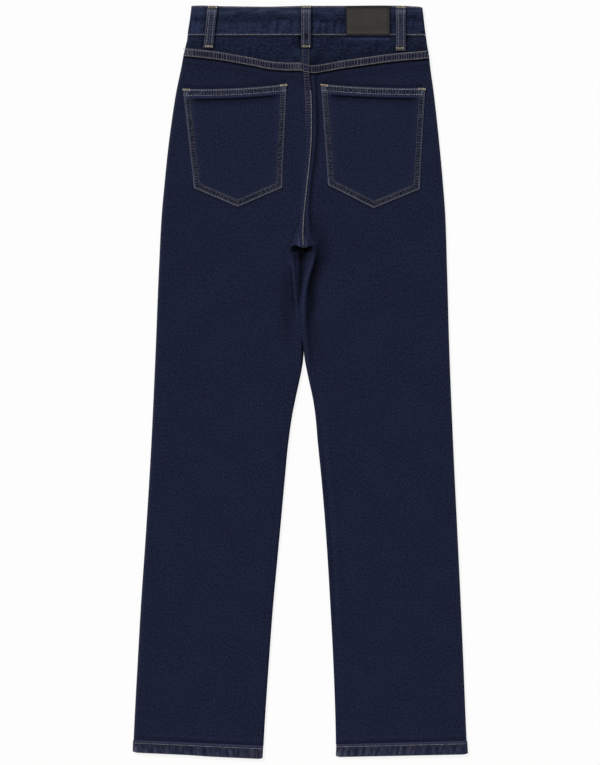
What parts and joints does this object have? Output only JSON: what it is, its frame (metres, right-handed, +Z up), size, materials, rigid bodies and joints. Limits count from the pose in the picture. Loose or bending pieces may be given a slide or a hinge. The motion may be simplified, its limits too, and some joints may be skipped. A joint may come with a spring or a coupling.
{
  "type": "straight leg jeans",
  "caption": "Straight leg denim jeans laid flat on their front, with patch pockets, yoke, belt loops and a bare waistband label on the back.",
  "frame": {"origin": "the middle of the garment's outline, on the surface that it lies on", "axes": "+Y towards the waist, +X to the right as seen from above with the waist up, +Z up from the surface, out of the back of the jeans"},
  "size_m": [0.4808, 1.0835, 0.0114],
  "materials": {
    "denim": "dark indigo twill, matt, a little paler along the seams",
    "leather": "dark taupe leather, bare, soft sheen",
    "button_metal": "aged brass, satin"
  },
  "bodies": {
    "root": {"back_left": "denim", "back_right": "denim", "yoke_left": "denim", "yoke_right": "denim", "front_left": "denim", "front_right": "denim", "front_pocket_facing_left": "denim", "front_pocket_facing_right": "denim", "back_pocket_left": "denim", "back_pocket_right": "denim", "yoke_seam_left": "denim", "yoke_seam_right": "denim", "seat_seam": "denim", "hem_left": "denim", "hem_right": "denim", "waistband": "denim", "fly_shield": "denim", "belt_loop_back_left": "denim", "belt_loop_back_centre": "denim", "belt_loop_back_right": "denim", "belt_loop_front_left": "denim", "belt_loop_front_right": "denim", "label": "leather", "button": "button_metal"}
  },
  "joints": []
}
